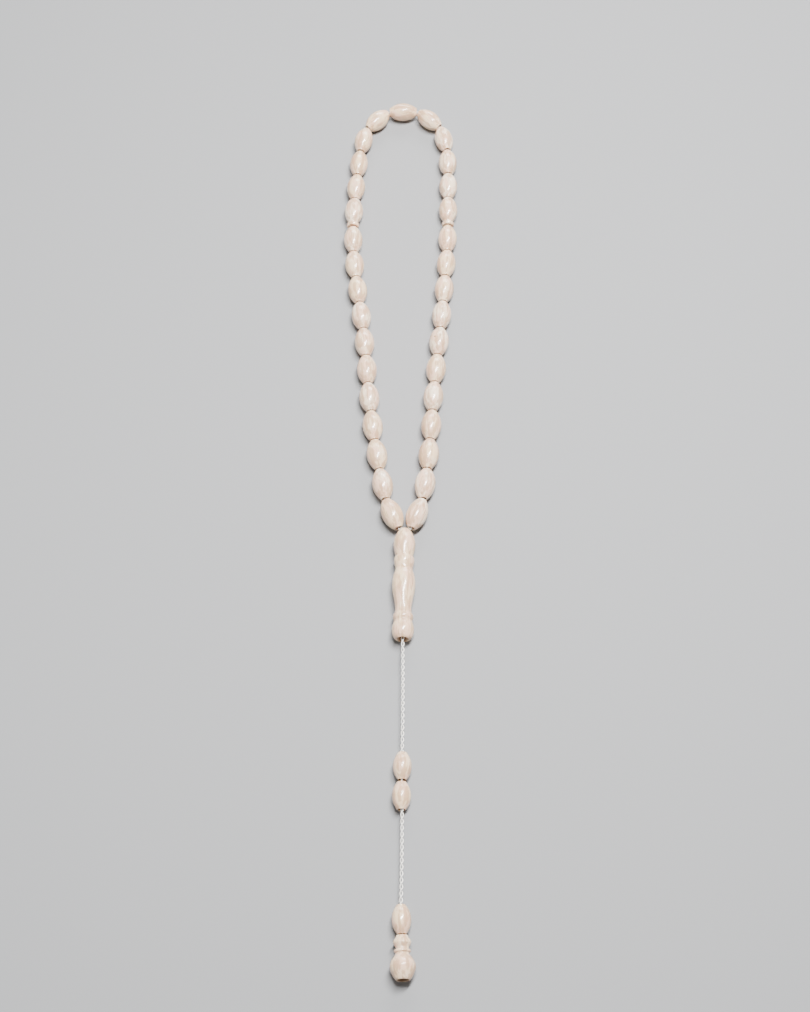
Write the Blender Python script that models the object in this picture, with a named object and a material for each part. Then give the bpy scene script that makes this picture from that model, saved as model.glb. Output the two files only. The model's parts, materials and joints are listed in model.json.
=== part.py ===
"""A misbaha: thirty-three turned beads on a cord loop, two divider discs, a long turned leader,
a two-strand tail with two sliding counter beads, and a tail bead and finial at its end.

It lies flat on Z = 0 with the loop towards +Y and the finial towards -Y. All sizes are in metres.
"""

import math

import bmesh
import bpy
from mathutils import Matrix, Vector

MM = 0.001

# Where the loop's two sides meet at the leader, with the origin under the middle of the whole object.
MEETING_X = 1.3 * MM
MEETING_Y = -17.0 * MM

# Loop beads, graded from the leader up to the top of the loop.
STRAND_BEADS = 16
LOW_BEAD_LENGTH = 12.06 * MM
HIGH_BEAD_LENGTH = 11.02 * MM
LOW_BEAD_RADIUS = 3.88 * MM
HIGH_BEAD_RADIUS = 3.62 * MM
BEAD_END_RADIUS = 1.5 * MM
BEAD_BORE_RADIUS = 0.9 * MM
DIVIDER_RANK = 5.5
DIVIDER_LENGTH = 1.5 * MM
DIVIDER_RADIUS = 2.45 * MM
DIVIDER_EDGE_ROUND = 0.3 * MM

# Play between neighbouring loop beads, wider where the loop turns over its top.
PLAY = 0.41 * MM
HINGE_PLAY = 0.6 * MM
SHOULDER_PLAY = 0.95 * MM
ARCH_PLAY = 1.35 * MM

# Where each side's strand turns from its lowest bead into the leader's throat.
LOOP_END_TURN = (1.35 * MM, -0.6 * MM)
LOOP_END_REACH = 1.0 * MM
LOOP_END_SPREAD = 0.52 * MM

# Cords. The tail is the loop's two strands twisted together.
STRAND_RADIUS = 0.34 * MM
TAIL_CORD_RADIUS = 0.68 * MM
CORD_STEP = 2.5 * MM
CORD_GAP = 0.15 * MM
SWING_GAP = 0.3 * MM

# Tail beads.
TAIL_BEAD_LENGTH = 9.5 * MM
TAIL_BEAD_RADIUS = 3.23 * MM
TAIL_BEAD_END_RADIUS = 1.6 * MM
TAIL_BORE_RADIUS = 1.12 * MM
UPPER_COUNTER_Y = -89.3 * MM
LOWER_COUNTER_Y = -99.5 * MM
TAIL_BEAD_TOP_Y = -135.9 * MM
FINIAL_TOP_Y = -145.8 * MM

# The leader's upper end lies a little below the point where the loop's two sides meet, and its
# lower end leans a little to the left.
LEADER_START_Y = -1.3 * MM
LEADER_LEAN = -0.7 * MM

# Where the tail's cord meets the tail bead, and how far the counter beads hang below the cord.
TAIL_END_HEIGHT = 3.3 * MM
COUNTER_DROP = 0.2 * MM
COUNTER_SHIFTS = {"upper": 0.12 * MM, "lower": -0.06 * MM}
REST_GAP = 0.04 * MM
TAIL_END_X = -1.2 * MM
FINIAL_BALL_X = -0.6 * MM

# Leader: (distance from its upper end, radius) down its outside, in millimetres.
LEADER_OUTLINE = [
    (0.0, 1.8), (0.6, 2.3), (1.5, 2.8), (2.4, 3.2), (3.5, 3.64), (4.7, 3.9), (5.9, 3.97), (7.2, 3.86),
    (9.2, 3.48), (10.2, 3.24), (10.7, 3.16), (11.2, 3.52), (12.2, 3.68), (13.2, 3.6), (14.2, 3.34),
    (15.1, 3.12), (15.9, 3.12), (16.8, 3.38), (18.0, 3.78), (19.6, 4.06), (20.6, 4.14), (22.4, 4.14),
    (24.6, 3.9), (27.4, 3.36), (30.2, 2.94), (32.0, 2.98), (32.8, 3.2), (33.5, 3.58), (34.5, 3.6),
    (35.3, 3.3), (36.1, 3.38), (37.2, 3.72), (38.5, 3.94), (39.8, 3.88), (41.0, 3.55), (41.9, 3.08),
    (42.3, 2.7),
]
LEADER_LENGTH = LEADER_OUTLINE[-1][0] * MM
LEADER_BELLY_RADIUS = max(radius for _, radius in LEADER_OUTLINE) * MM
TAIL_PIVOT_DEPTH = 0.6 * MM
LEADER_THROAT_RADIUS = 1.5 * MM
BORE_STEP = 0.8 * MM
LEADER_CHAMBER_RADIUS = 2.0 * MM
LEADER_CHAMBER = (12.0 * MM, 22.0 * MM)
LEADER_MOUTH_RADIUS = 1.95 * MM
LEADER_MOUTH_DEPTH = 2.2 * MM

# Finial: (distance from its upper end, radius) down its outside, in millimetres.
FINIAL_OUTLINE = [
    (0.0, 1.85), (0.8, 2.2), (1.5, 2.75), (2.1, 2.97), (2.6, 2.97), (3.2, 2.62), (3.9, 2.17),
    (4.55, 2.22), (4.75, 2.74), (5.35, 2.74), (5.5, 2.42), (6.05, 2.32), (6.8, 2.84), (8.0, 3.68),
    (9.4, 4.22), (10.4, 4.24), (11.7, 3.88), (12.9, 3.28), (13.7, 2.78), (14.2, 2.36),
]
FINIAL_LENGTH = FINIAL_OUTLINE[-1][0] * MM
FINIAL_BALL_RADIUS = max(radius for _, radius in FINIAL_OUTLINE) * MM
FINIAL_BALL_AT = 9.9 * MM
FINIAL_SOCKET_RADIUS = 1.9 * MM
FINIAL_SOCKET_DEPTH = 4.2 * MM

KNOT_RADIUS = 1.5 * MM
KNOT_LENGTH = 3.4 * MM
KNOT_GAP = 0.3 * MM
KNOT_SIDES = 12
KNOT_ROWS = 6

# The loop's way from the leader over each side, in millimetres from the leader's upper end.
LEFT_ROUTE = [
    (-2.15, -0.8), (-4.5, 4.7), (-6.87, 10.4), (-7.95, 17.4), (-10.4, 29.8), (-13.4, 54.3), (-15.3, 78.8),
    (-18.4, 102.8), (-20.2, 120.8), (-20.3, 137.8), (-18.8, 159.8), (-17.6, 170.8), (-15.4, 180.3),
    (-6.6, 189.1), (3.0, 190.2),
]
RIGHT_ROUTE = [
    (2.3, -0.85), (4.4, 4.7), (6.48, 10.5), (7.3, 17.4), (9.0, 29.6), (10.7, 54.1), (13.1, 78.6),
    (15.3, 102.6), (16.7, 120.6), (17.2, 137.6), (17.5, 159.6), (17.1, 170.5), (15.2, 179.9),
    (6.0, 188.9), (-3.0, 190.2),
]
ROUTE_STEPS = 60

# Cord pieces along one side, from one rank to another. Beads are ranked down from the top bead.
CORD_SPANS = [(15, 14), (13, 11), (10, 8), (7, DIVIDER_RANK), (5, 3)]
ARCH_SPAN = (2, 1)

LATHE_SIDES = 16
BEAD_ROWS = 6

BONE = (0.83, 0.77, 0.66)
BONE_ROUGHNESS = 0.3
CORD_WHITE = (0.86, 0.84, 0.78)
CORD_ROUGHNESS = 0.9
SHARP_EDGE = math.radians(35)


def clear_scene():
    for old in list(bpy.data.objects):
        bpy.data.objects.remove(old, do_unlink=True)


def material(name, colour, roughness):
    """A plain Principled material, made once for each name."""
    found = bpy.data.materials.get(name)
    if found:
        return found
    made = bpy.data.materials.new(name)
    made.use_nodes = True
    shader = made.node_tree.nodes["Principled BSDF"]
    shader.inputs["Base Color"].default_value = (*colour, 1.0)
    shader.inputs["Roughness"].default_value = roughness
    shader.inputs["Metallic"].default_value = 0.0
    return made


def mix(low, high, share):
    return low + (high - low) * share


def lathe_mesh(name, outline, surface):
    """A closed body turned about X from an outline of (x, radius) points that goes round once.

    The sides are placed so that one flat side faces straight down.
    """
    mesh = bpy.data.meshes.new(name)
    work = bmesh.new()
    rings = []
    for x, radius in outline:
        ring = []
        for side in range(LATHE_SIDES):
            angle = 2 * math.pi * (side + 0.5) / LATHE_SIDES
            place = (x, radius * math.sin(angle), radius * math.cos(angle))
            ring.append(work.verts.new(place))
        rings.append(ring)
    for here, after in zip(rings, rings[1:] + rings[:1]):
        for side in range(LATHE_SIDES):
            beside = (side + 1) % LATHE_SIDES
            work.faces.new((here[side], after[side], after[beside], here[beside]))
    bmesh.ops.recalc_face_normals(work, faces=work.faces)
    work.to_mesh(mesh)
    work.free()
    mesh.materials.append(surface)
    mesh.shade_smooth()
    mesh.set_sharp_from_angle(angle=SHARP_EDGE)
    return mesh


def bead_outline(length, radius, end_radius, bore_radius):
    """A barrel whose side is one arc between two flat ends, with a bore right through."""
    rise = radius - end_radius
    arc_radius = (length * length / 4 + rise * rise) / (2 * rise)
    outline = []
    for row in range(BEAD_ROWS + 1):
        x = length * (row / BEAD_ROWS - 0.5)
        outline.append((x, radius - arc_radius + math.sqrt(arc_radius**2 - x * x)))
    outline.append((length / 2, bore_radius))
    outline.append((-length / 2, bore_radius))
    return outline


def turned_outline(points, inside):
    """An outside given in millimetres, closed by an inside of (x, radius) points in metres."""
    return [(x * MM, radius * MM) for x, radius in points] + inside


def placed(name, mesh, centre, direction, parent=None):
    """An object whose X axis lies along direction and whose origin is at centre."""
    made = bpy.data.objects.new(name, mesh)
    bpy.context.collection.objects.link(made)
    along = direction.normalized()
    across = Vector((0, 0, 1)).cross(along).normalized()
    up = along.cross(across)
    turn = Matrix((along, across, up)).transposed().to_4x4()
    made.matrix_world = Matrix.Translation(centre) @ turn
    if parent:
        made.parent = parent
        made.matrix_parent_inverse = parent.matrix_world.inverted()
    return made


def pivot(name, centre, parent=None):
    """An empty on a joint's upright axis, which carries what turns about it."""
    made = bpy.data.objects.new(name, None)
    bpy.context.collection.objects.link(made)
    made.matrix_world = Matrix.Translation(centre)
    if parent:
        made.parent = parent
        made.matrix_parent_inverse = parent.matrix_world.inverted()
    bpy.context.view_layer.update()
    return made


def spline_through(points, steps):
    """Points along a smooth curve through the given ones, by Catmull and Rom's rule."""
    ends = [2 * points[0] - points[1]] + points + [2 * points[-1] - points[-2]]
    found = []
    for a, b, c, d in zip(ends, ends[1:], ends[2:], ends[3:]):
        for step in range(steps):
            t = step / steps
            found.append(
                0.5
                * (
                    2 * b
                    + (c - a) * t
                    + (2 * a - 5 * b + 4 * c - d) * t**2
                    + (3 * b - a - 3 * c + d) * t**3
                )
            )
    found.append(points[-1])
    return found


def cord(name, points, radius, surface, parent=None):
    """A round cord along the points, as a filled tube."""
    data = bpy.data.curves.new(name, "CURVE")
    data.dimensions = "3D"
    data.bevel_depth = radius
    data.bevel_resolution = 2
    data.use_fill_caps = True
    spline = data.splines.new("POLY")
    spline.points.add(len(points) - 1)
    for knot, place in zip(spline.points, points):
        knot.co = (*place, 1.0)
    data.materials.append(surface)
    made = bpy.data.objects.new(name, data)
    bpy.context.collection.objects.link(made)
    if parent:
        made.parent = parent
        made.matrix_parent_inverse = parent.matrix_world.inverted()
    return made


def shortened(points, first_gap, last_gap):
    """The same way, cut back by a gap at each end."""
    cut = list(points)
    cut[0] = points[0] + (points[1] - points[0]).normalized() * first_gap
    cut[-1] = points[-1] + (points[-2] - points[-1]).normalized() * last_gap
    return cut


def straight_way(start, end):
    """Evenly spaced points from one place to another."""
    steps = round((end - start).length / CORD_STEP)
    return [start.lerp(end, step / steps) for step in range(steps + 1)]


def from_meeting(x, y, height=0.0):
    """A place given from the point where the loop's two sides meet."""
    return Vector((MEETING_X + x, MEETING_Y + y, height))


def bead_share(rank):
    """0 for the bead next to the leader, 1 for the one at the top of the loop."""
    return (STRAND_BEADS - rank) / STRAND_BEADS


def bead_length(rank):
    return mix(LOW_BEAD_LENGTH, HIGH_BEAD_LENGTH, bead_share(rank))


def bead_radius(rank):
    return mix(LOW_BEAD_RADIUS, HIGH_BEAD_RADIUS, bead_share(rank))


def axis_height(radius):
    """The height of a turned piece's axis when it lies on one of its flat sides."""
    return radius * math.cos(math.pi / LATHE_SIDES)


def leader_height():
    """The height of the leader's axis when it lies on its belly."""
    return axis_height(LEADER_BELLY_RADIUS)


def strand_pieces():
    """The pieces up one side, as (rank, length). The divider's rank lies between two beads'."""
    pieces = [(rank, bead_length(rank)) for rank in range(1, STRAND_BEADS + 1)]
    pieces.append((DIVIDER_RANK, DIVIDER_LENGTH))
    return sorted(pieces, reverse=True)


def play_above(rank):
    """The play between a loop bead and its neighbour towards the top of the loop."""
    if rank == 1:
        return ARCH_PLAY
    if rank in (2, 3):
        return SHOULDER_PLAY
    if rank == STRAND_BEADS:
        return HINGE_PLAY
    return PLAY


def walk(route, distances):
    """Points along a route whose straight distances from one to the next are as given."""
    curve = spline_through([from_meeting(x * MM, y * MM) for x, y in route], ROUTE_STEPS)
    found = [curve[0]]
    at = 0
    for distance in distances:
        while (curve[at + 1] - found[-1]).length < distance:
            at += 1
        before, after = curve[at], curve[at + 1]
        low = (before - found[-1]).length
        high = (after - found[-1]).length
        found.append(before.lerp(after, (distance - low) / (high - low)))
    return found


def strand_layout(route):
    """The pieces up one side with the points that they meet at: [(rank, start, end)]."""
    pieces = strand_pieces()
    plays = [HINGE_PLAY] + [play_above(rank) for rank, _ in pieces]
    distances = []
    for (rank, length), below, above in zip(pieces, plays, plays[1:]):
        distances.append(length + (below + above) / 2)
    points = walk(route, distances)
    return [(rank, a, b) for (rank, _), a, b in zip(pieces, points, points[1:])]


def at_height(place, height):
    return Vector((place.x, place.y, height))


def bead_mesh(rank, surface):
    """The mesh that the beads of one rank share."""
    name = f"loop_bead_{rank:02d}"
    found = bpy.data.meshes.get(name)
    if found:
        return found
    outline = bead_outline(
        bead_length(rank), bead_radius(rank), BEAD_END_RADIUS, BEAD_BORE_RADIUS
    )
    return lathe_mesh(name, outline, surface)


def divider_mesh(surface):
    found = bpy.data.meshes.get("divider_disc")
    if found:
        return found
    edge = DIVIDER_RADIUS - DIVIDER_EDGE_ROUND
    outline = [
        (-DIVIDER_LENGTH / 2, edge),
        (-DIVIDER_LENGTH / 4, DIVIDER_RADIUS),
        (DIVIDER_LENGTH / 4, DIVIDER_RADIUS),
        (DIVIDER_LENGTH / 2, edge),
        (DIVIDER_LENGTH / 2, BEAD_BORE_RADIUS),
        (-DIVIDER_LENGTH / 2, BEAD_BORE_RADIUS),
    ]
    return lathe_mesh("divider_disc", outline, surface)


def cord_height(rank):
    """The cord's height over the table inside the piece of this rank."""
    return axis_height(bead_radius(rank))


def build_strand(side, layout, carriers, bone):
    """The beads and the divider of one side, each carried by its cord piece's pivot."""
    for rank, start, end in layout:
        centre = at_height((start + end) / 2, cord_height(rank))
        if rank == DIVIDER_RANK:
            name, mesh = f"{side}_divider_disc", divider_mesh(bone)
        else:
            name, mesh = f"{side}_bead_{rank:02d}", bead_mesh(rank, bone)
        placed(name, mesh, centre, end - start, carriers[rank])


def strand_carriers(side, layout, root, arch):
    """Each rank's carrier: a pivot at the lower end of its cord piece, in a chain from the root."""
    carriers = {STRAND_BEADS: root, 2: arch, 1: arch}
    parent = root
    for number, span in enumerate(CORD_SPANS, 1):
        pieces = in_span(layout, span)
        parent = pivot(f"{side}_cord_pivot_{number}", at_height(pieces[0][1], 0.0), parent)
        for rank, _, _ in pieces:
            carriers[rank] = parent
    return carriers


def in_span(layout, span):
    first, last = span
    return [piece for piece in layout if last <= piece[0] <= first]


def route_of_span(layout, span):
    """The cord's points from the lower end of a span's first piece to the upper end of its last."""
    pieces = in_span(layout, span)
    points = [at_height(start, cord_height(rank)) for rank, start, _ in pieces]
    return points + [at_height(pieces[-1][2], cord_height(pieces[-1][0]))]


def build_strand_cords(side, layout, carriers, white):
    """One straight-sided cord piece for each span, running through its beads' bores."""
    for number, span in enumerate(CORD_SPANS, 1):
        points = shortened(route_of_span(layout, span), CORD_GAP, CORD_GAP)
        cord(f"{side}_loop_cord_{number}", points, STRAND_RADIUS, white, carriers[span[0]])


def build_arch(left, right, arch, bone, white):
    """The top bead, and the cord that runs over the top of the loop."""
    left_top, right_top = left[-1][2], right[-1][2]
    height = cord_height(1)
    centre = at_height((left_top + right_top) / 2, height)
    placed("top_bead", bead_mesh(1, bone), centre, right_top - left_top, arch)
    points = route_of_span(left, ARCH_SPAN) + route_of_span(right, ARCH_SPAN)[::-1]
    cord("arch_loop_cord", shortened(points, CORD_GAP, CORD_GAP), STRAND_RADIUS, white, arch)


def leader_down():
    """The direction of the leader's bore, from the loop towards the tail."""
    return Vector((LEADER_LEAN, -LEADER_LENGTH, 0)).normalized()


def leader_point(distance, across=0.0):
    """A point inside the leader, at a distance from its upper end and to one side of its axis."""
    top = from_meeting(across, LEADER_START_Y, leader_height())
    return top + leader_down() * distance


def build_loop_ends(left, right, root, white):
    """The loop's two lower ends, from their first pivots through the lowest beads into the leader."""
    depth = LEADER_CHAMBER[0] + LOOP_END_REACH
    for side, layout, across in (("left", left, -1), ("right", right, 1)):
        _, start, end = layout[0]
        low = cord_height(STRAND_BEADS)
        inner = across * LOOP_END_SPREAD
        way = [
            at_height(end, low),
            at_height(start.lerp(end, 0.5), low),
            at_height(start, low),
            from_meeting(across * LOOP_END_TURN[0], LOOP_END_TURN[1], low),
            leader_point(0.0, inner),
            leader_point(LEADER_CHAMBER[0], inner),
            leader_point(depth, inner),
        ]
        cord(f"{side}_loop_end", shortened(way, CORD_GAP, 0.0), STRAND_RADIUS, white, root)


def leader_bore():
    """The leader's inside from its mouth back to its throat: a flare, a bore, a chamber, a throat."""
    low, high = LEADER_CHAMBER
    return [
        (LEADER_LENGTH, LEADER_MOUTH_RADIUS),
        (LEADER_LENGTH - LEADER_MOUTH_DEPTH, TAIL_BORE_RADIUS),
        (high + BORE_STEP, TAIL_BORE_RADIUS),
        (high, LEADER_CHAMBER_RADIUS),
        (low, LEADER_CHAMBER_RADIUS),
        (low - BORE_STEP, LEADER_THROAT_RADIUS),
        (0.0, LEADER_THROAT_RADIUS),
    ]


def knot_mesh(name, length, radius, surface):
    """A small tight knot, as a plump closed body about X."""
    mesh = bpy.data.meshes.new(name)
    work = bmesh.new()
    bmesh.ops.create_uvsphere(work, u_segments=KNOT_SIDES, v_segments=KNOT_ROWS, radius=radius)
    stretch = Matrix.Diagonal((1.0, 1.0, length / (2 * radius))).to_4x4()
    turn = Matrix.Rotation(math.pi / 2, 4, "Y")
    bmesh.ops.transform(work, matrix=turn @ stretch, verts=work.verts)
    work.to_mesh(mesh)
    work.free()
    mesh.materials.append(surface)
    mesh.shade_smooth()
    return mesh


def tail_point(y):
    """A point on the tail's straight way from the leader's mouth to the tail bead."""
    top = tail_pivot_place()
    end = from_meeting(TAIL_END_X, TAIL_BEAD_TOP_Y, TAIL_END_HEIGHT)
    share = (MEETING_Y + y - top.y) / (end.y - top.y)
    return top.lerp(end, share)


def build_leader(root, bone, white):
    """The leader, the knot in its chamber and the tail's first stretch inside it."""
    down = leader_down()
    mesh = lathe_mesh("leader", turned_outline(LEADER_OUTLINE, leader_bore()), bone)
    placed("leader", mesh, leader_point(0.0), down, root)
    middle = sum(LEADER_CHAMBER) / 2
    knot = knot_mesh("leader_knot", KNOT_LENGTH, KNOT_RADIUS, white)
    placed("leader_knot", knot, leader_point(middle), down, root)
    start = leader_point(middle + KNOT_LENGTH / 2 + KNOT_GAP)
    end = tail_pivot_place()
    cord("leader_cord", shortened(straight_way(start, end), 0.0, SWING_GAP), TAIL_CORD_RADIUS, white, root)


def tail_pivot_place():
    """The point just inside the leader's mouth that the tail swings about."""
    return leader_point(LEADER_LENGTH - TAIL_PIVOT_DEPTH)


def pendant_pivot_place():
    """The middle of the tail bead's upper face, which the end of the tail swings about."""
    return tail_point(TAIL_BEAD_TOP_Y)


def tail_bead_mesh(surface):
    found = bpy.data.meshes.get("tail_bead")
    if found:
        return found
    outline = bead_outline(
        TAIL_BEAD_LENGTH, TAIL_BEAD_RADIUS, TAIL_BEAD_END_RADIUS, TAIL_BORE_RADIUS
    )
    return lathe_mesh("tail_bead", outline, surface)


def build_tail(root, bone, white):
    """The tail cord with its two counter beads, which slide along it."""
    start, end = tail_pivot_place(), pendant_pivot_place()
    swing = pivot("tail_pivot", at_height(start, 0.0), root)
    way = shortened(straight_way(start, end), SWING_GAP, SWING_GAP)
    cord("tail_cord", way, TAIL_CORD_RADIUS, white, swing)
    along = end - start
    for name, y in (("upper", UPPER_COUNTER_Y), ("lower", LOWER_COUNTER_Y)):
        centre = tail_point(y) + Vector((COUNTER_SHIFTS[name], 0, -COUNTER_DROP))
        placed(f"{name}_counter_bead", tail_bead_mesh(bone), centre, along, swing)
    return swing


def pendant_way():
    """Where the tail's last stretch begins and its direction, with the finial's ball on the table."""
    start = pendant_pivot_place()
    height = axis_height(FINIAL_BALL_RADIUS) + REST_GAP
    ball = from_meeting(FINIAL_BALL_X, FINIAL_TOP_Y - FINIAL_BALL_AT, height)
    return start, (ball - start).normalized()


def build_pendant(tail, bone, white):
    """The tail bead, the finial and the knot that holds them, which swing together."""
    start, down = pendant_way()
    swing = pivot("pendant_pivot", at_height(start, 0.0), tail)
    centre = start + down * (TAIL_BEAD_LENGTH / 2)
    placed("tail_bead", tail_bead_mesh(bone), centre, down, swing)
    socket = FINIAL_LENGTH - FINIAL_SOCKET_DEPTH
    inside = [
        (FINIAL_LENGTH, FINIAL_SOCKET_RADIUS),
        (socket, FINIAL_SOCKET_RADIUS),
        (socket - BORE_STEP, TAIL_BORE_RADIUS),
        (0.0, TAIL_BORE_RADIUS),
    ]
    mesh = lathe_mesh("finial", turned_outline(FINIAL_OUTLINE, inside), bone)
    top = start + down * (TAIL_BEAD_TOP_Y - FINIAL_TOP_Y)
    placed("finial", mesh, top, down, swing)
    knot_at = top + down * (socket + KNOT_LENGTH / 2 + KNOT_GAP)
    knot = knot_mesh("end_knot", KNOT_LENGTH, KNOT_RADIUS, white)
    placed("end_knot", knot, knot_at, down, swing)
    finish = knot_at - down * (KNOT_LENGTH / 2 + KNOT_GAP)
    way = shortened(straight_way(start, finish), SWING_GAP, 0.0)
    cord("pendant_cord", way, TAIL_CORD_RADIUS, white, swing)


def main():
    clear_scene()
    bone = material("bone", BONE, BONE_ROUGHNESS)
    white = material("white_cord", CORD_WHITE, CORD_ROUGHNESS)
    left = strand_layout(LEFT_ROUTE)
    right = strand_layout(RIGHT_ROUTE)
    root = pivot("misbaha", Vector((0, 0, 0)))
    left_starts = {rank: start for rank, start, _ in left}
    arch = pivot("arch_pivot", at_height(left_starts[2], 0.0))
    left_carriers = strand_carriers("left", left, root, arch)
    right_carriers = strand_carriers("right", right, root, arch)
    build_strand("left", left, left_carriers, bone)
    build_strand("right", right, right_carriers, bone)
    build_strand_cords("left", left, left_carriers, white)
    build_strand_cords("right", right, right_carriers, white)
    build_arch(left, right, arch, bone, white)
    build_loop_ends(left, right, root, white)
    build_leader(root, bone, white)
    swing = build_tail(root, bone, white)
    build_pendant(swing, bone, white)


if __name__ == "__main__":
    main()
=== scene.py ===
"""A misbaha of turned bone beads on a twisted cord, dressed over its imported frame."""

import json
import math
import random

import bpy
from mathutils import Matrix, Vector


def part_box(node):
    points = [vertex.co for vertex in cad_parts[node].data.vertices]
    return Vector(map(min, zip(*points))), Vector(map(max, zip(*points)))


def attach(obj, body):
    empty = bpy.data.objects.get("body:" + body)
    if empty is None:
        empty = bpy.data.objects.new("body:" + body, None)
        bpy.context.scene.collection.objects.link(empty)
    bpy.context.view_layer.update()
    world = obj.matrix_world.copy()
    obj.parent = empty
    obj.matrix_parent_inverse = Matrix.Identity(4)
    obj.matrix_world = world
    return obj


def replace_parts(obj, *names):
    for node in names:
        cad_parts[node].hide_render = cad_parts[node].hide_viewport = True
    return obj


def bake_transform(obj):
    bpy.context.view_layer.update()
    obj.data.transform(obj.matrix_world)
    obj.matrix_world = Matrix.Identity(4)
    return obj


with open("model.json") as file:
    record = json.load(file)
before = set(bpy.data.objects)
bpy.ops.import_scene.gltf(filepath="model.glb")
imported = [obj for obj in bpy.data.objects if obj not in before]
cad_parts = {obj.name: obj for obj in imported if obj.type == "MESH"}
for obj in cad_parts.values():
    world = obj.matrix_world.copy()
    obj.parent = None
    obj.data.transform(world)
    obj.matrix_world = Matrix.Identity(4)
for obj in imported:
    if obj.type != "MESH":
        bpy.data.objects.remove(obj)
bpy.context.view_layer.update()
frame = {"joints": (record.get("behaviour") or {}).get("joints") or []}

bl_info = {
    "name": "Misbaha",
    "version": (1, 0, 0),
    "blender": (4, 5, 0),
    "location": "View3D > Sidebar > Misbaha",
    "description": "Makes a string of turned prayer beads with a leader, a tail cord and a finial",
    "category": "Object",
}

MM = 0.001
JOINTS = {joint["name"]: joint for joint in frame["joints"]}

STRAND_BEADS = 16
SIDES_OF_LOOP = ("left", "right")
COUNTER_BEADS = ("upper_counter_bead", "lower_counter_bead")
TAIL_BEAD_SIZE = (9.5 * MM, 3.23 * MM)
TAIL_BEAD_END = 1.45 * MM
DIVIDER_RANK = 5.5
TOP_RANK = 0
DIVIDER_SIZE = (1.5 * MM, 2.45 * MM)

# Length and radius in millimetres. The lowest beads have the first pair, and the beads shrink
# steadily upward towards the second, which they would reach one rank above bead 01.
LOW_BEAD = (12.06, 3.88)
HIGH_BEAD = (11.02, 3.62)

# Leader: (distance from its upper end, radius) down its outside, in millimetres.
LEADER_OUTLINE = (
    (0.0, 1.8), (0.6, 2.3), (1.5, 2.8), (2.4, 3.2), (3.5, 3.64), (4.7, 3.9), (5.9, 3.97),
    (7.2, 3.86), (9.2, 3.48), (10.2, 3.24), (10.7, 3.16), (11.2, 3.52), (12.2, 3.68), (13.2, 3.6),
    (14.2, 3.34), (15.1, 3.12), (15.9, 3.12), (16.8, 3.38), (18.0, 3.78), (19.6, 4.06),
    (20.6, 4.14), (22.4, 4.14), (24.6, 3.9), (27.4, 3.36), (30.2, 2.94), (32.0, 2.98),
    (32.8, 3.2), (33.5, 3.58), (34.5, 3.6), (35.3, 3.3), (36.1, 3.38), (37.2, 3.72), (38.5, 3.94),
    (39.8, 3.88), (41.0, 3.55), (41.9, 3.08), (42.3, 2.7),
)
LEADER_GROOVES = (10.6, 15.4, 32.4, 35.4)
LEADER_THROAT = 1.5
LEADER_BORE = 1.08
LEADER_CHAMBER = 2.0
LEADER_CHAMBER_ENDS = (12.0, 22.0)
LEADER_MOUTH = 1.95
LEADER_MOUTH_DEPTH = 2.2
LEADER_PIVOT_DEPTH = 0.6
LEADER_LEAN = -0.7

# Finial: (distance from its upper end, radius) down its outside, in millimetres.
FINIAL_OUTLINE = (
    (0.0, 1.85), (0.8, 2.2), (1.5, 2.75), (2.1, 2.97), (2.6, 2.97), (3.2, 2.62), (3.9, 2.17),
    (4.55, 2.22), (4.75, 2.74), (5.35, 2.74), (5.5, 2.42), (6.05, 2.32), (6.8, 2.84), (8.0, 3.68),
    (9.4, 4.22), (10.4, 4.24), (11.7, 3.88), (12.9, 3.28), (13.7, 2.78), (14.2, 2.36),
)
FINIAL_GROOVES = (4.4, 5.6)
FINIAL_SOCKET = 1.9
FINIAL_SOCKET_DEPTH = 4.2
TAIL_BORE = 1.12

# How much stain a groove holds and how far it reaches each way, in millimetres.
GROOVE_STAIN = 0.46
GROOVE_WIDTH = 0.4

# How many ripples of unevenness a metre of a bead and of a long piece would hold.
BEAD_WAVES = 90.0
LONG_PIECE_WAVES = 60.0
LEAST_SWELL = 0.988
OUTLINE_STEPS = 6

# How many features a metre of bone holds along the grain and across it each way.
BROAD_GRAIN = (90.0, 620.0, 620.0)
FINE_GRAIN = (260.0, 1500.0, 1500.0)
CLOUDS = (230.0, 230.0, 230.0)
PORES = (420.0, 2000.0, 2000.0)
BLUSHES = (150.0, 330.0, 330.0)
PIT_EDGE = (0.26 * MM, 0.46 * MM)

# A cord's build: ply and lay as shares of a quarter of its thickness, yarn as a share of its lay.
STEPS_PER_TURN = 26
PLY_SHARE = 0.62
LAY_SHARE = 1.2
YARN_SHARE = 0.62
LOBE_DEPTH = 0.17
THIN_SIDES = 10
LOOSENING_RUN = 8.0 * MM
FIBRE_THICKNESS = 0.013 * MM


class Socket:
    """An output socket that Python's operators join Math nodes to."""

    def __init__(self, board, output):
        self.board = board
        self.output = output

    def beside(self, name):
        """Another output of the same node."""
        return Socket(self.board, self.output.node.outputs[name])

    def __add__(self, other):
        return self.board.maths("ADD", self, other)

    def __radd__(self, other):
        return self.board.maths("ADD", other, self)

    def __sub__(self, other):
        return self.board.maths("SUBTRACT", self, other)

    def __rsub__(self, other):
        return self.board.maths("SUBTRACT", other, self)

    def __mul__(self, other):
        return self.board.maths("MULTIPLY", self, other)

    def __truediv__(self, other):
        return self.board.maths("DIVIDE", self, other)

    def __mod__(self, other):
        return self.board.maths("MODULO", self, other)


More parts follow.
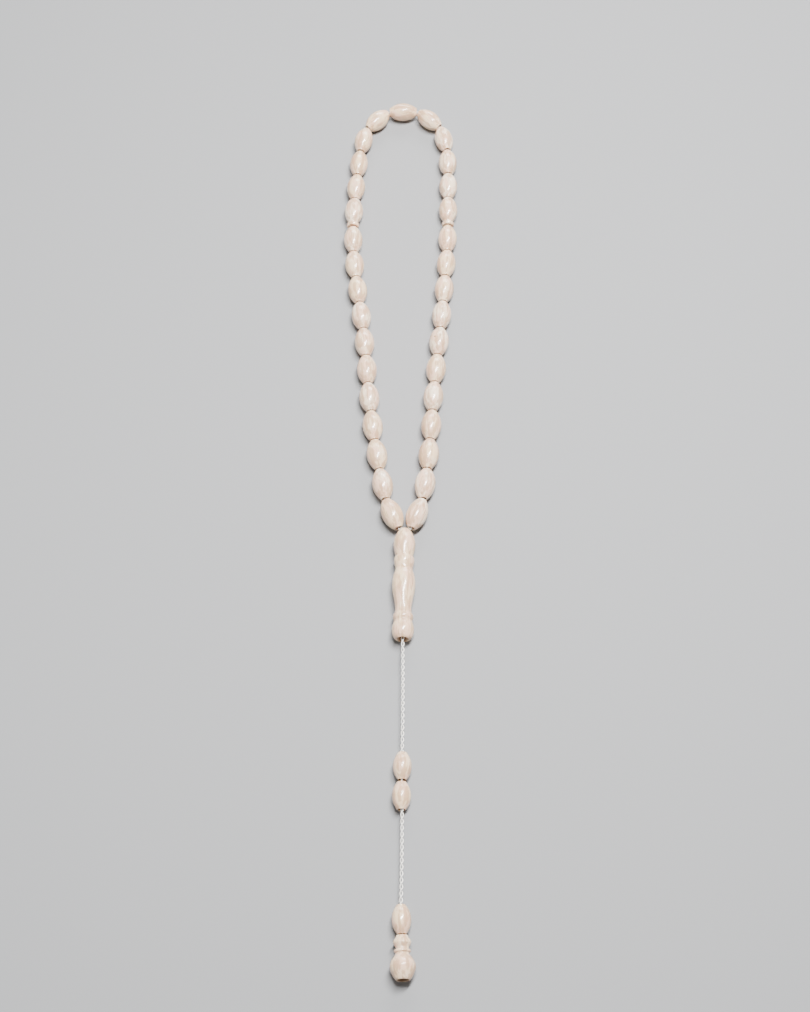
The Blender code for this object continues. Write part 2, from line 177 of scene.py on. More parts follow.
class Board:
    """A node tree that nodes are added to by type, with their settings and sockets' values."""

    def __init__(self, tree):
        self.tree = tree

    def add(self, kind, settings=None, values=None, output=0):
        node = self.tree.nodes.new(kind)
        for name, value in (settings or {}).items():
            if name == "stops":
                self.set_stops(node.color_ramp, value)
            else:
                setattr(node, name, value)
        for name, value in (values or {}).items():
            self.feed(node.inputs[name], value)
        return Socket(self, node.outputs[output]) if node.outputs else node

    def feed(self, entry, value):
        if isinstance(value, Socket):
            self.tree.links.new(value.output, entry)
        else:
            entry.default_value = value

    def set_stops(self, ramp, stops):
        while len(ramp.elements) > 1:
            ramp.elements.remove(ramp.elements[-1])
        ramp.elements[0].position, ramp.elements[0].color = stops[0]
        for position, colour in stops[1:]:
            ramp.elements.new(position).color = colour

    def maths(self, operation, *values):
        return self.add("ShaderNodeMath", {"operation": operation}, dict(enumerate(values)))

    def vector_maths(self, operation, *values, output=0):
        return self.add(
            "ShaderNodeVectorMath", {"operation": operation}, dict(enumerate(values)), output
        )

    def scaled(self, vector, amount):
        values = {0: vector, "Scale": amount}
        return self.add("ShaderNodeVectorMath", {"operation": "SCALE"}, values)

    def ease(self, value, low, high):
        """0 below low, 1 above high and a smooth way between them."""
        return self.add(
            "ShaderNodeMapRange",
            {"interpolation_type": "SMOOTHSTEP"},
            {"Value": value, "From Min": low, "From Max": high},
        )

    def blend_colours(self, share, first, second):
        values = {0: share, 6: first, 7: second}
        return self.add("ShaderNodeMix", {"data_type": "RGBA"}, values, output=2)


def colour(value):
    return (*value, 1.0)


# ---- settings that a user may change


class MISBAHA_PG_bone(bpy.types.PropertyGroup):
    """The turned bone and its finish."""

    pale: bpy.props.FloatVectorProperty(
        name="Pale bone", description="Colour of the palest beads", subtype="COLOR",
        size=3, min=0.0, max=1.0, default=(0.95, 0.765, 0.585),
    )
    warm: bpy.props.FloatVectorProperty(
        name="Warm bone", description="Colour of the yellowest beads", subtype="COLOR",
        size=3, min=0.0, max=1.0, default=(0.88, 0.65, 0.41),
    )
    streak: bpy.props.FloatVectorProperty(
        name="Grain", description="Colour of the grain's streaks", subtype="COLOR",
        size=3, min=0.0, max=1.0, default=(0.50, 0.30, 0.17),
    )
    blush: bpy.props.FloatVectorProperty(
        name="Blush", description="Colour of the rosier patches", subtype="COLOR",
        size=3, min=0.0, max=1.0, default=(0.84, 0.555, 0.395),
    )
    stain: bpy.props.FloatVectorProperty(
        name="Bore stain", description="Colour of the bone round the bores", subtype="COLOR",
        size=3, min=0.0, max=1.0, default=(0.30, 0.15, 0.06),
    )
    sides: bpy.props.IntProperty(
        name="Sides", description="Facets round a turned piece", default=56, min=16, max=96
    )
    rim: bpy.props.FloatProperty(
        name="Rim", description="Rounding where a bead's side meets its end", default=0.26 * MM,
        min=0.0, unit="LENGTH", precision=5,
    )
    unevenness: bpy.props.FloatProperty(
        name="Unevenness", description="How far hand turning strays from round",
        default=0.045 * MM, min=0.0, unit="LENGTH", precision=5,
    )
    slack: bpy.props.FloatProperty(
        name="Fit", description="Share of the frame's radius that the finished piece fills",
        default=0.992, min=0.9, max=1.0, subtype="FACTOR",
    )


class MISBAHA_PG_cord(bpy.types.PropertyGroup):
    """The twisted cord."""

    thickness: bpy.props.FloatProperty(
        name="Tail cord", description="Thickness of the two-ply tail cord", default=1.36 * MM,
        min=0.0003, unit="LENGTH", precision=5,
    )
    strand: bpy.props.FloatProperty(
        name="Loop strand", description="Thickness of the strand inside the loop's beads",
        default=0.68 * MM, min=0.0003, unit="LENGTH", precision=5,
    )
    pitch: bpy.props.FloatProperty(
        name="Lay", description="Length of one full turn of the tail cord's plies",
        default=4.34 * MM, min=0.001, unit="LENGTH", precision=5,
    )
    tone: bpy.props.FloatVectorProperty(
        name="Cord", description="Colour of the cord", subtype="COLOR",
        size=3, min=0.0, max=1.0, default=(0.90, 0.87, 0.81),
    )
    soiled: bpy.props.FloatVectorProperty(
        name="Handled cord", description="Colour where the cord is soiled by handling",
        subtype="COLOR", size=3, min=0.0, max=1.0, default=(0.66, 0.56, 0.44),
    )
    fibres: bpy.props.IntProperty(
        name="Fibres", description="Loose fibres on the upper or the lower tail cord",
        default=70, min=0, max=400,
    )


class MISBAHA_PG_stage(bpy.types.PropertyGroup):
    """The floor and the lights."""

    floor: bpy.props.FloatVectorProperty(
        name="Floor", description="Colour of the floor", subtype="COLOR",
        size=3, min=0.0, max=1.0, default=(0.27, 0.272, 0.277),
    )
    key_power: bpy.props.FloatProperty(
        name="Key light", description="Power of the main light", default=20.0, min=0.0, unit="POWER"
    )
    end_power: bpy.props.FloatProperty(
        name="End light", description="Power of the light beyond the loop", default=6.0, min=0.0,
        unit="POWER",
    )
    fill_power: bpy.props.FloatProperty(
        name="Fill light", description="Power of the fill light", default=1.0, min=0.0, unit="POWER"
    )


def settings(name):
    return getattr(bpy.context.scene, f"misbaha_{name}")


# ---- places on the string


def place_of(node):
    """The middle of a turned piece and the direction of its bore."""
    joint = JOINTS.get(f"spin_{node}")
    if joint:
        return Vector(joint["pos_m"]), Vector(joint["axis"]).normalized()
    low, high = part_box(node)
    return (low + high) / 2, Vector(JOINTS["counter_bead_lower_slide"]["axis"]).normalized()


def turned_place(centre, along):
    """A matrix that lays a piece's X axis along a direction, with its origin at centre."""
    across = Vector((0, 0, 1)).cross(along).normalized()
    up = along.cross(across)
    return Matrix.Translation(centre) @ Matrix((along, across, up)).transposed().to_4x4()


def bead_share(rank):
    """0 for the bead next to the leader, 1 for the one at the top of the loop."""
    return (STRAND_BEADS - rank) / STRAND_BEADS


def blend_sizes(low, high, share):
    return low + (high - low) * share


def bead_size(rank):
    """A loop bead's length and radius."""
    share = min(bead_share(rank), bead_share(1))
    length, radius = (blend_sizes(low, high, share) for low, high in zip(LOW_BEAD, HIGH_BEAD))
    return length * MM, radius * MM


def node_of(side, rank):
    if rank == TOP_RANK:
        return "top_bead"
    if rank == DIVIDER_RANK:
        return f"{side}_divider_disc"
    return f"{side}_bead_{rank:02d}"


def smooth_way(points, steps):
    """Points along a smooth curve through the given ones, by Catmull and Rom's rule."""
    ends = [2 * points[0] - points[1], *points, 2 * points[-1] - points[-2]]
    found = []
    for a, b, c, d in zip(ends, ends[1:], ends[2:], ends[3:]):
        for step in range(steps):
            t = step / steps
            bend = (2 * a - 5 * b + 4 * c - d) * t**2 + (3 * b - a - 3 * c + d) * t**3
            found.append((2 * b + (c - a) * t + bend) * 0.5)
    found.append(points[-1])
    return found


# ---- Geometry Nodes


def new_tree(name, entries):
    """A Geometry Nodes tree with a shape coming in, the named inputs and a shape going out."""
    tree = bpy.data.node_groups.new(name, "GeometryNodeTree")
    tree.interface.new_socket("Start", in_out="INPUT", socket_type="NodeSocketGeometry")
    for entry, kind in entries:
        tree.interface.new_socket(entry, in_out="INPUT", socket_type=f"NodeSocket{kind}")
    tree.interface.new_socket("Shape", in_out="OUTPUT", socket_type="NodeSocketGeometry")
    board = Board(tree)
    return board, board.add("NodeGroupInput")


def finish_tree(board, shape, surface):
    whole = board.add("GeometryNodeRealizeInstances", None, {"Geometry": shape})
    smooth = board.add("GeometryNodeSetShadeSmooth", None, {"Geometry": whole})
    dressed = board.add("GeometryNodeSetMaterial", None, {"Geometry": smooth, "Material": surface})
    board.add("NodeGroupOutput", None, {"Shape": dressed})
    return board.tree


def kept(board, shape, name, value, kind="FLOAT"):
    """Stores a value on the points under a name that a material can read."""
    return board.add(
        "GeometryNodeStoreNamedAttribute",
        {"data_type": kind, "domain": "POINT"},
        {"Geometry": shape, "Name": name, "Value": value},
    )


def turning_tree():
    """Turns an outline of (distance, radius) points once round the X axis into a closed body."""
    entries = [
        ("Sides", "Int"), ("Swell", "Float"), ("Unevenness", "Float"), ("Waves", "Float"),
        ("Tint", "Float"), ("Seed", "Float"), ("Surface", "Material"),
    ]
    board, start = new_tree("turned_piece", entries)
    entry = start.beside
    count = board.add(
        "GeometryNodeAttributeDomainSize", {"component": "MESH"}, {"Geometry": entry("Start")}
    )
    sleeve = board.add(
        "GeometryNodeMeshCylinder",
        {"fill_type": "NONE"},
        {"Vertices": entry("Sides"), "Side Segments": count, "Radius": 1.0, "Depth": 1.0},
    )
    spot = board.add("GeometryNodeInputPosition")
    parts = board.add("ShaderNodeSeparateXYZ", None, {0: spot})
    lowest = board.add(
        "GeometryNodeAttributeStatistic", None, {"Geometry": sleeve, 2: parts.beside("Z")}
    )
    height = parts.beside("Z") - lowest.beside("Min")
    row = board.maths("ROUND", height * count) % count
    outline = board.add(
        "GeometryNodeSampleIndex",
        {"data_type": "FLOAT_VECTOR"},
        {"Geometry": entry("Start"), "Value": spot, "Index": row},
    )
    stain = board.add(
        "GeometryNodeSampleIndex",
        {"data_type": "FLOAT"},
        {
            "Geometry": entry("Start"),
            "Value": board.add("GeometryNodeInputNamedAttribute", None, {"Name": "stain"}),
            "Index": row,
        },
    )
    flat = board.add("ShaderNodeSeparateXYZ", None, {0: outline})
    lean = board.add(
        "ShaderNodeCombineXYZ",
        None,
        {"X": flat * entry("Waves"), "Y": parts.beside("X") * 0.8, "Z": parts.beside("Y") * 0.8},
    )
    waver = board.add(
        "ShaderNodeTexNoise",
        {"noise_dimensions": "4D"},
        {"Vector": lean, "W": entry("Seed"), "Scale": 1.0, "Detail": 1.0},
    )
    radius = flat.beside("Y") * entry("Swell")
    radius = radius + (waver - 0.5) * entry("Unevenness") * 2.0 * (1.0 - stain)
    turned = board.add(
        "ShaderNodeCombineXYZ",
        None,
        {"X": flat, "Y": radius * parts.beside("X"), "Z": radius * parts.beside("Y")},
    )
    body = kept(board, sleeve, "stain", stain)
    body = board.add("GeometryNodeSetPosition", None, {"Geometry": body, "Position": turned})
    body = board.add("GeometryNodeMergeByDistance", None, {"Geometry": body, "Distance": 1e-7})
    shift = board.add(
        "ShaderNodeCombineXYZ",
        None,
        {"X": entry("Seed") * 0.031, "Y": entry("Seed") * 0.017, "Z": entry("Seed") * 0.013},
    )
    grain = board.vector_maths("ADD", spot, shift)
    body = kept(board, body, "grain_place", grain, "FLOAT_VECTOR")
    body = kept(board, body, "tint", entry("Tint"))
    return finish_tree(board, body, entry("Surface"))


def laying_tree():
    """Lays two plies of lobed yarn round a route, each yarn twisted against the lay."""
    entries = [
        ("Step", "Float"), ("Ply Radius", "Float"), ("Lay Radius", "Float"), ("Pitch", "Float"),
        ("Phase", "Float"), ("Yarn Pitch", "Float"), ("Lobe Depth", "Float"), ("Sides", "Int"),
        ("Loose From", "Float"), ("Loosening", "Float"), ("Surface", "Material"),
    ]
    board, start = new_tree("laid_cord", entries)
    entry = start.beside
    route = board.add("GeometryNodeMeshToCurve", None, {"Mesh": entry("Start")})
    route = board.add(
        "GeometryNodeResampleCurve", {"mode": "LENGTH"}, {"Curve": route, "Length": entry("Step")}
    )
    run = board.add("GeometryNodeSplineParameter").beside("Length")
    route = kept(board, route, "cord_run", run)
    loose_from = entry("Loose From")
    loose = board.ease(run, loose_from, loose_from + LOOSENING_RUN) * entry("Loosening")
    turn = run / entry("Pitch") * math.tau + entry("Phase")
    tangent = board.add("GeometryNodeInputTangent")
    normal = board.add("GeometryNodeInputNormal")
    across = board.vector_maths("CROSS_PRODUCT", tangent, normal)
    reach = entry("Lay Radius") * (1.0 + loose)
    profile = board.add(
        "GeometryNodeCurvePrimitiveCircle",
        {"mode": "RADIUS"},
        {"Resolution": entry("Sides"), "Radius": entry("Ply Radius")},
    )
    round_share = board.add("GeometryNodeSplineParameter")
    lobes = board.maths("ABSOLUTE", board.maths("SINE", round_share * (math.pi * 4.0)))
    swell = 1.0 - entry("Lobe Depth") * (1.0 - lobes)
    spot = board.add("GeometryNodeInputPosition")
    profile = kept(board, profile, "yarn_turn", round_share)
    lobed = board.scaled(spot, swell)
    profile = board.add(
        "GeometryNodeSetPosition", None, {"Geometry": profile, "Position": lobed}
    )
    join = board.tree.nodes.new("GeometryNodeJoinGeometry")
    for ply in range(2):
        angle = turn + ply * math.pi
        side = board.scaled(normal, board.maths("COSINE", angle) * reach)
        up = board.scaled(across, board.maths("SINE", angle) * reach)
        way = board.add(
            "GeometryNodeSetPosition",
            None,
            {"Geometry": route, "Offset": board.vector_maths("ADD", side, up)},
        )
        tilt = run / entry("Yarn Pitch") * -math.tau
        way = board.add("GeometryNodeSetCurveTilt", None, {"Curve": way, "Tilt": tilt})
        yarn = board.add(
            "GeometryNodeCurveToMesh",
            None,
            {"Curve": way, "Profile Curve": profile, "Fill Caps": True},
        )
        board.tree.links.new(yarn.output, join.inputs[0])
    return finish_tree(board, Socket(board, join.outputs[0]), entry("Surface"))


def fibre_tree():
    """Stands short bent fibres on a cord's surface."""
    entries = [
        ("Fibres", "Int"), ("Length", "Float"), ("Thickness", "Float"), ("Seed", "Int"),
        ("Surface", "Material"),
    ]
    board, start = new_tree("loose_fibres", entries)
    entry = start.beside
    size = board.add("GeometryNodeAttributeStatistic", {"domain": "FACE"}, {
        "Geometry": entry("Start"), 2: board.add("GeometryNodeInputMeshFaceArea"),
    })
    density = entry("Fibres") / size.beside("Sum")
    points = board.add(
        "GeometryNodeDistributePointsOnFaces",
        None,
        {"Mesh": entry("Start"), "Density": density, "Seed": entry("Seed")},
    )
    hair = board.add(
        "GeometryNodeCurvePrimitiveBezierSegment",
        None,
        {
            "Resolution": 5, "Start": (0, 0, -0.05), "Start Handle": (0, 0.1, 0.3),
            "End Handle": (0.5, 0.3, 0.4), "End": (0.8, 0.55, 0.25),
        },
    )
    hair = board.add(
        "GeometryNodeCurveToMesh",
        None,
        {
            "Curve": hair,
            "Profile Curve": board.add(
                "GeometryNodeCurvePrimitiveCircle",
                {"mode": "RADIUS"},
                {"Resolution": 3, "Radius": entry("Thickness") / entry("Length")},
            ),
            "Fill Caps": True,
        },
    )
    swing = board.add(
        "FunctionNodeRandomValue",
        {"data_type": "FLOAT"},
        {2: 0.0, 3: math.tau, "Seed": entry("Seed")},
        output=1,
    )
    spin = board.add("ShaderNodeCombineXYZ", None, {"Z": swing})
    facing = board.add(
        "FunctionNodeRotateRotation",
        {"rotation_space": "LOCAL"},
        {"Rotation": points.beside("Rotation"), "Rotate By": spin},
    )
    span = board.add(
        "FunctionNodeRandomValue",
        {"data_type": "FLOAT"},
        {2: entry("Length") * 0.4, 3: entry("Length"), "Seed": entry("Seed") + 7},
        output=1,
    )
    hairs = board.add(
        "GeometryNodeInstanceOnPoints",
        None,
        {"Points": points, "Instance": hair, "Rotation": facing, "Scale": span},
    )
    return finish_tree(board, hairs, entry("Surface"))


def tree_named(name, maker):
    return bpy.data.node_groups.get(name) or maker()


def grown(name, start, tree, values, place=None):
    """The plain mesh that a node tree makes from a starting mesh, as an object at the origin."""
    source = bpy.data.objects.new(f"{name}_start", start)
    bpy.context.collection.objects.link(source)
    modifier = source.modifiers.new("shape", "NODES")
    modifier.node_group = tree
    for item in tree.interface.items_tree:
        if item.item_type == "SOCKET" and item.in_out == "INPUT" and item.name in values:
            modifier[item.identifier] = values[item.name]
    depsgraph = bpy.context.evaluated_depsgraph_get()
    mesh = bpy.data.meshes.new_from_object(source.evaluated_get(depsgraph), depsgraph=depsgraph)
    bpy.data.objects.remove(source, do_unlink=True)
    if not mesh.polygons:
        raise RuntimeError(f"{name} came out empty")
    if place:
        mesh.transform(place)
    mesh.name = name
    made = bpy.data.objects.new(name, mesh)
    bpy.context.collection.objects.link(made)
    return made


def line_mesh(name, points, edges=True, stains=None):
    """Points in a row, joined by edges or not, with how stained each one is."""
    mesh = bpy.data.meshes.new(name)
    joined = [(at, at + 1) for at in range(len(points) - 1)] if edges else []
    mesh.from_pydata([tuple(point) for point in points], joined, [])
    if stains:
        mesh.attributes.new("stain", "FLOAT", "POINT").data.foreach_set("value", stains)
    return mesh


# ---- materials


def surface(name):
    made = bpy.data.materials.new(name)
    made.use_nodes = True
    made.node_tree.nodes.clear()
    return made, Board(made.node_tree)


def finished(board, values):
    shader = board.add("ShaderNodeBsdfPrincipled", None, values)
    board.add("ShaderNodeOutputMaterial", None, {"Surface": shader})


def read(board, name, output):
    return board.add("ShaderNodeAttribute", {"attribute_name": name}, None, output)


def stretched(board, vector, scale):
    return board.vector_maths("MULTIPLY", vector, scale)


def noise(board, vector, detail=2.0, roughness=0.5):
    values = {"Vector": vector, "Scale": 1.0, "Detail": detail, "Roughness": roughness}
    return board.add("ShaderNodeTexNoise", None, values)


def bone_surface(name, mark=None):
    """Polished bone: warm and pale beads, long grain, short pores and brown-stained bores."""
    found = bpy.data.materials.get(name)
    if found:
        return found
    bone = settings("bone")
    made, board = surface(name)
    grain_place = read(board, "grain_place", "Vector")
    tint = read(board, "tint", "Fac")
    stain = read(board, "stain", "Fac")
    broad = noise(board, stretched(board, grain_place, BROAD_GRAIN), 3.0)
    fine = noise(board, stretched(board, grain_place, FINE_GRAIN), 4.0, 0.6)
    cloud = noise(board, stretched(board, grain_place, CLOUDS), 2.0)
    cells = board.add(
        "ShaderNodeTexVoronoi",
        {"feature": "F1"},
        {"Vector": stretched(board, grain_place, PORES), "Scale": 1.0},
        output="Distance",
    )
    pores = (1.0 - board.ease(cells, 0.1, 0.26)) * board.ease(broad, 0.44, 0.58)
    base = board.blend_colours(
        board.ease(tint + (cloud - 0.5) * 1.8, 0.1, 0.9), colour(bone.warm), colour(bone.pale)
    )
    blush = noise(board, stretched(board, grain_place, BLUSHES), 2.0)
    base = board.blend_colours(board.ease(blush, 0.44, 0.57) * 0.9, base, colour(bone.blush))
    streaks = board.ease(broad * 0.6 + fine * 0.4, 0.46, 0.56)
    base = board.blend_colours(streaks * 0.72, base, colour(bone.streak))
    base = board.blend_colours(pores * 0.6, base, colour(bone.streak))
    ring = board.ease(stain + (cloud - 0.5) * 0.35 * stain, 0.12, 0.95)
    base = board.blend_colours(ring, base, colour(bone.stain))
    dents = pores
    if mark:
        spot = board.add("ShaderNodeTexCoord", None, None, "Object")
        away = board.vector_maths("DISTANCE", spot, tuple(mark), output="Value")
        hole = 1.0 - board.ease(away, *PIT_EDGE)
        base = board.blend_colours(hole * 0.85, base, colour(bone.stain))
        dents = board.maths("MAXIMUM", pores, hole)
    roughness = 0.2 + streaks * 0.10 + pores * 0.12 + ring * 0.38
    relief = board.add(
        "ShaderNodeBump",
        None,
        {"Strength": 0.16, "Distance": 0.06 * MM, "Height": fine * 0.5 + broad * 0.3 - dents},
    )
    finished(
        board,
        {
            "Base Color": base,
            "Roughness": roughness,
            "Normal": relief,
            "IOR": 1.5,
            "Subsurface Weight": 0.12,
            "Subsurface Radius": (1.0, 0.62, 0.42),
            "Subsurface Scale": 1.2 * MM,
            "Coat Weight": 0.5,
            "Coat Roughness": 0.1,
        },
    )
    return made


def cord_surface():
    """Off-white yarn: fine fibres along each ply and a soiled tinge in places."""
    found = bpy.data.materials.get("white_yarn")
    if found:
        return found
    cord = settings("cord")
    made, board = surface("white_yarn")
    spot = board.add("ShaderNodeTexCoord", None, None, "Object")
    run = read(board, "cord_run", "Fac")
    turn = read(board, "yarn_turn", "Fac")
    across = board.add(
        "ShaderNodeCombineXYZ", None, {"X": run * 900.0, "Y": turn * 34.0, "Z": run * 60.0}
    )
    hairs = noise(board, across, 4.0, 0.65)
    patches = noise(board, stretched(board, spot, (260.0, 260.0, 260.0)), 3.0)
    base = board.blend_colours(
        board.ease(patches, 0.5, 0.8) * 0.3, colour(cord.tone), colour(cord.soiled)
    )
    base = board.blend_colours(board.ease(hairs, 0.55, 0.8) * 0.22, base, colour(cord.soiled))
    relief = board.add(
        "ShaderNodeBump", None, {"Strength": 0.5, "Distance": 0.05 * MM, "Height": hairs}
    )
    finished(
        board,
        {
            "Base Color": base,
            "Roughness": 0.72 + hairs * 0.2,
            "Normal": relief,
            "Sheen Weight": 0.25,
            "Sheen Roughness": 0.5,
            "Subsurface Weight": 0.08,
            "Subsurface Radius": (1.0, 0.9, 0.75),
            "Subsurface Scale": 0.3 * MM,
        },
    )
    return made


def knot_surface():
    """Tan, soiled yarn for the knots."""
    found = bpy.data.materials.get("soiled_yarn")
    if found:
        return found
    cord = settings("cord")
    made, board = surface("soiled_yarn")
    spot = board.add("ShaderNodeTexCoord", None, None, "Object")
    hairs = noise(board, stretched(board, spot, (2600.0, 900.0, 2600.0)), 4.0, 0.6)
    patches = noise(board, stretched(board, spot, (500.0, 500.0, 500.0)), 2.0)
    base = board.blend_colours(
        board.ease(patches, 0.3, 0.7) * 0.6, colour(cord.soiled), (0.52, 0.38, 0.24, 1.0)
    )
    relief = board.add(
        "ShaderNodeBump", None, {"Strength": 0.6, "Distance": 0.06 * MM, "Height": hairs}
    )
    finished(board, {"Base Color": base, "Roughness": 0.78 + hairs * 0.15, "Normal": relief})
    return made


def floor_surface():
    made, board = surface("pale_floor")
    finished(board, {"Base Color": colour(settings("stage").floor), "Roughness": 0.85})
    return made


# ---- turned pieces


def rounded_end(x, radius, bore, rim, outward):
    """The rows from a bead's side round its rim, over its end and into its bore."""
    steps = 5
    rows = []
    for step in range(1, steps + 1):
        angle = math.pi / 2 * step / steps
        lower = rim * (1 - math.cos(angle))
        rows.append((x - outward * rim * (1 - math.sin(angle)), radius - lower, 0.01 * step))
    lip = bore + 0.16 * MM
    rows.append((x, (radius - rim + lip) / 2, 0.16))
    rows.append((x, lip, 0.42))
    rows.append((x - outward * 0.06 * MM, bore + 0.05 * MM, 0.7))
    rows.append((x - outward * 0.2 * MM, bore, 1.0))
    rows.append((x - outward * 1.2 * MM, bore, 1.0))
    return rows


def barrel_outline(length, radius, end_radius, bore, rim, rows=26):
    """A bead's outline: one arc from end to end, rounded rims, flat ends and a bore."""
    rise = radius - end_radius
    arc_radius = (length * length / 4 + rise * rise) / (2 * rise)

    def height(x):
        return radius - arc_radius + math.sqrt(arc_radius**2 - x * x)

    side = length / 2 - rim
    outline = []
    for row in range(rows + 1):
        x = side * (2 * row / rows - 1)
        near = max(0.0, abs(x) / side - 0.93) / 0.07
        outline.append((x, height(x), 0.01 * near))
    last = rounded_end(length / 2, height(side), bore, rim, 1)
    first = rounded_end(-length / 2, height(side), bore, rim, -1)[::-1]
    return outline + last + first


def turned(
    name, outline, place, seed, swell=1.0, waves=BEAD_WAVES,
    surface_name="polished_bone", mark=None,
):
    """A turned piece from its outline of (distance, radius, stain) points."""
    bone = settings("bone")
    draw = random.Random(seed)
    start = line_mesh(
        f"{name}_outline",
        [(x, radius, 0.0) for x, radius, _ in outline],
        edges=False,
        stains=[stain for _, _, stain in outline],
    )
    values = {
        "Sides": bone.sides,
        "Swell": bone.slack * swell,
        "Unevenness": bone.unevenness,
        "Waves": waves,
        "Tint": draw.uniform(0.0, 1.0),
        "Seed": float(seed % 89),
        "Surface": bone_surface(surface_name, mark),
    }
    made = grown(name, start, tree_named("turned_piece", turning_tree), values, place)
    return made


def turned_bead(node, size, end_radius, bore, seed, mark=None):
    """A barrel bead that stands for a node of the frame."""
    centre, along = place_of(node)
    length, radius = size
    outline = barrel_outline(length, radius, end_radius, bore, settings("bone").rim)
    surface_name = "pitted_bone" if mark else "polished_bone"
    swell = random.Random(seed + 500).uniform(LEAST_SWELL, 1.0)
    made = turned(
        f"{node}_turned", outline, turned_place(centre, along), seed, swell,
        surface_name=surface_name, mark=mark,
    )
    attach(made, node)
    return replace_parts(made, node)


def smooth_outline(points, steps, stained_ends=(0.0, 0.0), grooves=()):
    """An outline in millimetres made finer, as (distance, radius, stain) in metres.

    The ends and the grooves, given by their distances, hold some stain.
    """
    way = smooth_way([Vector((x, radius, 0.0)) for x, radius in points], steps)
    last = len(way) - 1
    outline = []
    for at, spot in enumerate(way):
        stain = stained_ends[0] * (at < 2) + stained_ends[1] * (at > last - 2)
        for groove in grooves:
            stain += GROOVE_STAIN * max(0.0, 1.0 - abs(spot.x - groove) / GROOVE_WIDTH)
        outline.append((spot.x * MM, spot.y * MM, stain))
    return outline


# ---- cords


def laid(name, points, thickness, pitch, phase=0.0, loose_from=1.0, loosening=0.0, sides=16):
    """A two-ply cord along the points."""
    ply = thickness / 4
    values = {
        "Step": pitch / STEPS_PER_TURN, "Ply Radius": ply * PLY_SHARE,
        "Lay Radius": ply * LAY_SHARE,
        "Pitch": pitch, "Phase": phase, "Yarn Pitch": pitch * YARN_SHARE, "Lobe Depth": LOBE_DEPTH,
        "Sides": sides, "Loose From": loose_from, "Loosening": loosening,
        "Surface": cord_surface(),
    }
    start = line_mesh(f"{name}_route", points)
    made = grown(name, start, tree_named("laid_cord", laying_tree), values)
    return made


def merged(made, extra):
    """Joins another object's mesh to the first one's."""
    with bpy.context.temp_override(
        active_object=made, object=made, selected_objects=[made, extra],
        selected_editable_objects=[made, extra],
    ):
        bpy.ops.object.join()
    return made


def with_fibres(made, count, length, seed):
    """Adds loose fibres to a cord's mesh."""
    values = {
        "Fibres": count, "Length": length, "Thickness": FIBRE_THICKNESS, "Seed": seed,
        "Surface": cord_surface(),
    }
    tree = tree_named("loose_fibres", fibre_tree)
    return merged(made, grown(f"{made.name}_fibres", made.data.copy(), tree, values))


def way_length(points):
    return sum((b - a).length for a, b in zip(points, points[1:]))


def straight_way(start, end, step):
    count = max(2, round((end - start).length / step))
    return [start.lerp(end, at / count) for at in range(count + 1)]


# ---- the string's own pieces


def leader_axis():
    """The middle of the leader's upper end, the tail's turning place and the leader's direction."""
    length = LEADER_OUTLINE[-1][0]
    down = Vector((LEADER_LEAN, -length, 0.0)).normalized()
    low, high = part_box("leader")
    mouth = Vector(JOINTS["leader_tail_swing"]["pos_m"])
    mouth.z = (low.z + high.z) / 2
    return mouth - down * ((length - LEADER_PIVOT_DEPTH) * MM), mouth, down


def tail_places():
    """The leader's mouth, the tail bead's top, the finial's top and the tail's way down."""
    _, mouth, _ = leader_axis()
    bead, down = place_of("tail_bead")
    top = bead - down * (TAIL_BEAD_SIZE[0] / 2)
    finial, _ = place_of("finial")
    return mouth, top, finial, down


class MISBAHA_OT_camera(bpy.types.Operator):
    """Set the camera over the string's near end"""

    bl_idname = "misbaha.camera"
    bl_label = "Camera"

    sensor_height = 24.0
    focal_length = 39.6
    nearest = 0.01
    place = (0.0014, -0.2778, 0.546)
    tilt = 26.4

    def execute(self, context):
        lens = bpy.data.cameras.new("camera")
        lens.sensor_fit = "VERTICAL"
        lens.sensor_height = self.sensor_height
        lens.lens = self.focal_length
        lens.clip_start = self.nearest
        camera = bpy.data.objects.new("camera", lens)
        camera.location = self.place
        camera.rotation_euler = (math.radians(self.tilt), 0.0, 0.0)
        context.collection.objects.link(camera)
        context.scene.camera = camera
        return {"FINISHED"}


